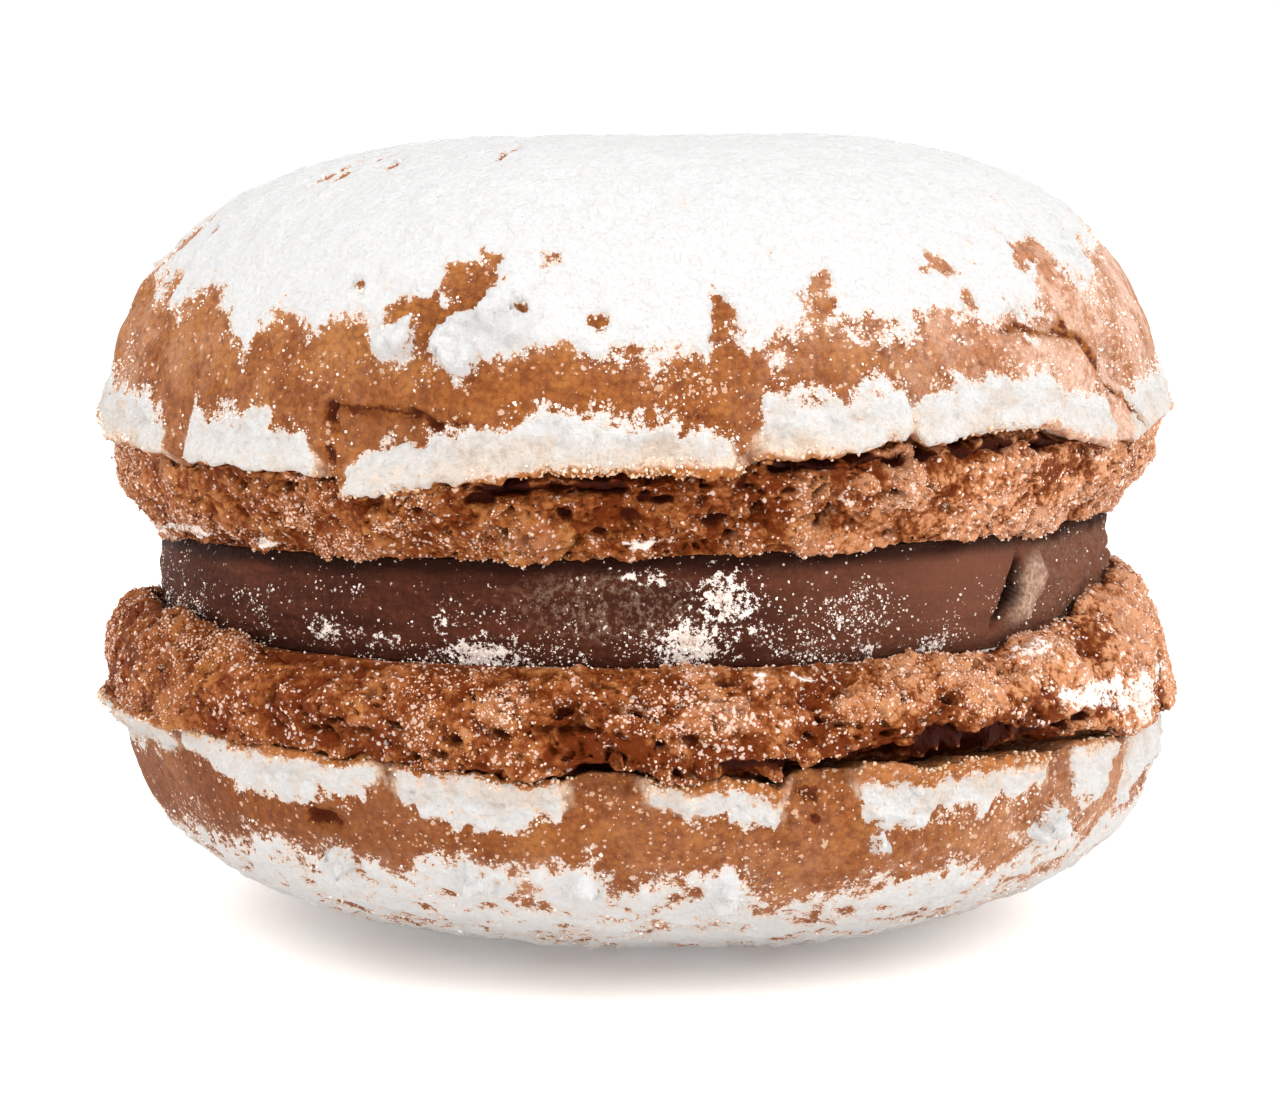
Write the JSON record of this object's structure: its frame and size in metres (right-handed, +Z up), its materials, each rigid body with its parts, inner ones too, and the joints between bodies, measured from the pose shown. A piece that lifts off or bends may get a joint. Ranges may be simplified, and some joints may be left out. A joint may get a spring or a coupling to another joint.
{
  "type": "filled amaretto cookie",
  "caption": "Round sandwich cookie: domed almond biscuits dusted with icing sugar, base to base on a thick chocolate cream layer.",
  "frame": {"origin": "centre of the bounding box at the floor, in the small flat spot of the lower dome", "axes": "+Z up through both biscuits and the filling, the shown front faces -Y, +X to the viewer's right"},
  "size_m": [0.0467, 0.0463, 0.0336],
  "materials": {
    "baked_almond_crust": "matte, rough, dusted with icing sugar",
    "chocolate_cream": "satin, slightly oily, with sugar dust"
  },
  "bodies": {
    "root": {"lower_biscuit": "baked_almond_crust", "filling": "chocolate_cream", "upper_biscuit": "baked_almond_crust"}
  },
  "joints": []
}
